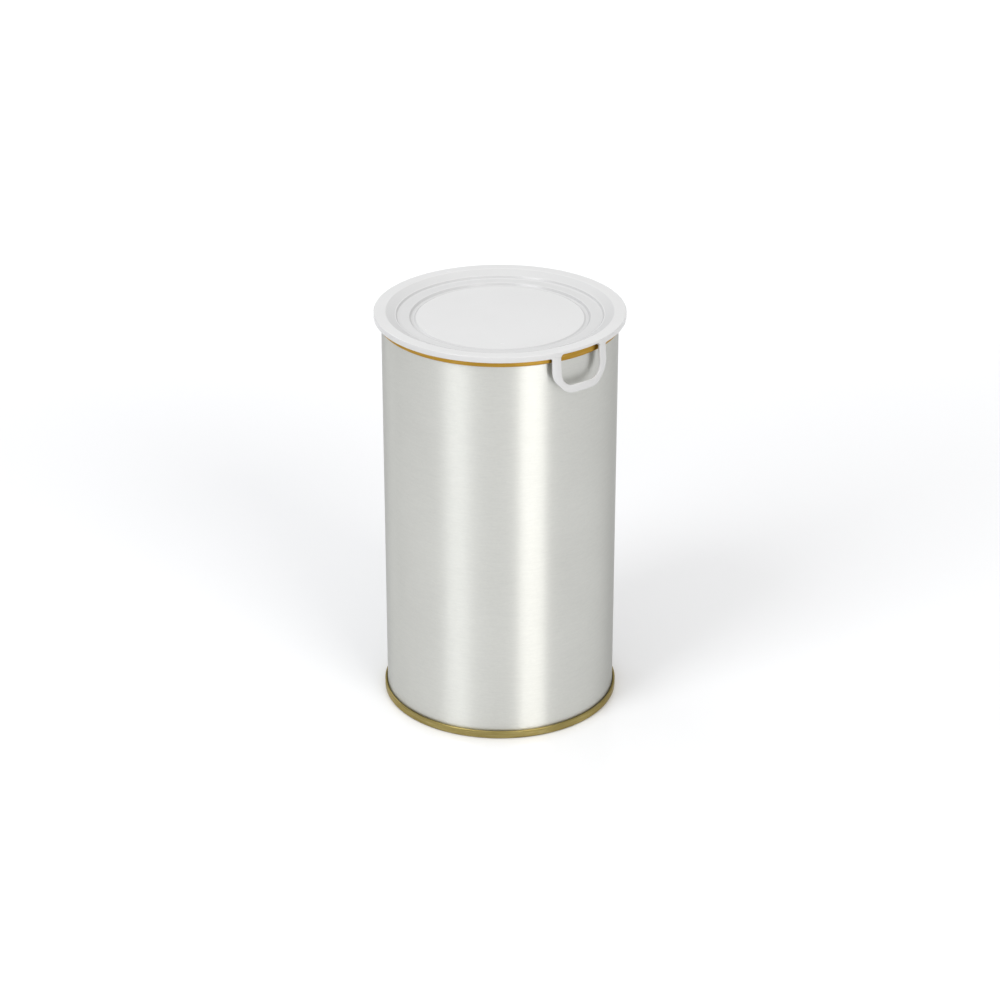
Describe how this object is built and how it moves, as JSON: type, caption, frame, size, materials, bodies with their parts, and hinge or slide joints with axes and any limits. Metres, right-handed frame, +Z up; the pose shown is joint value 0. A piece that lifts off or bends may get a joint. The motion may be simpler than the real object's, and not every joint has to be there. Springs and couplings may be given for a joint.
{
  "type": "tennis ball can",
  "caption": "Round double-seamed tinplate can for tennis balls, with an easy-open ring-pull end under a white plug lid that has a pull loop.",
  "frame": {"origin": "on the can's axis, in the plane that the bottom seam stands on", "axes": "+Z up along the can's axis; -Y towards the side that the lid's pull loop and the ring pull's nose are on"},
  "size_m": [0.089, 0.0902, 0.1494],
  "materials": {
    "bare_tinplate": "satin",
    "brass_lacquer": "satin",
    "gold_lacquer": "gloss",
    "seam_compound": "matte",
    "white_plastic": "gloss"
  },
  "bodies": {
    "can": {"can_body": "bare_tinplate", "bottom_end": "brass_lacquer", "bottom_seam_compound": "seam_compound", "easy_open_ring": "gold_lacquer", "top_seam_compound": "seam_compound"},
    "lid": {"lid": "white_plastic"},
    "pull_loop": {"lid_pull_loop": "white_plastic"},
    "tear_panel": {"tear_panel": "gold_lacquer", "pull_tongue": "gold_lacquer"},
    "ring_pull": {"ring_pull": "gold_lacquer"}
  },
  "joints": [
    {"name": "lid_lift", "type": "slide", "parent": "can", "child": "lid", "axis": [0, 0, 1], "range_m": [0, 0.12]},
    {"name": "loop_swing", "type": "hinge", "parent": "lid", "child": "pull_loop", "pos_m": [0, -0.0437, 0.14695], "axis": [-1, 0, 0], "range_deg": [0, 120]},
    {"name": "panel_peel", "type": "hinge", "parent": "can", "child": "tear_panel", "pos_m": [0, 0.0382, 0.14346], "axis": [-1, 0, 0], "range_deg": [0, 70]},
    {"name": "ring_lift", "type": "hinge", "parent": "tear_panel", "child": "ring_pull", "pos_m": [0, -0.037, 0.1439], "axis": [1, 0, 0], "range_deg": [0, 75]}
  ],
  "couplings": [
    {"joint": "panel_peel", "follows": "lid_lift", "rad_per_m": 10.1},
    {"joint": "ring_lift", "follows": "lid_lift", "rad_per_m": 10.8}
  ]
}
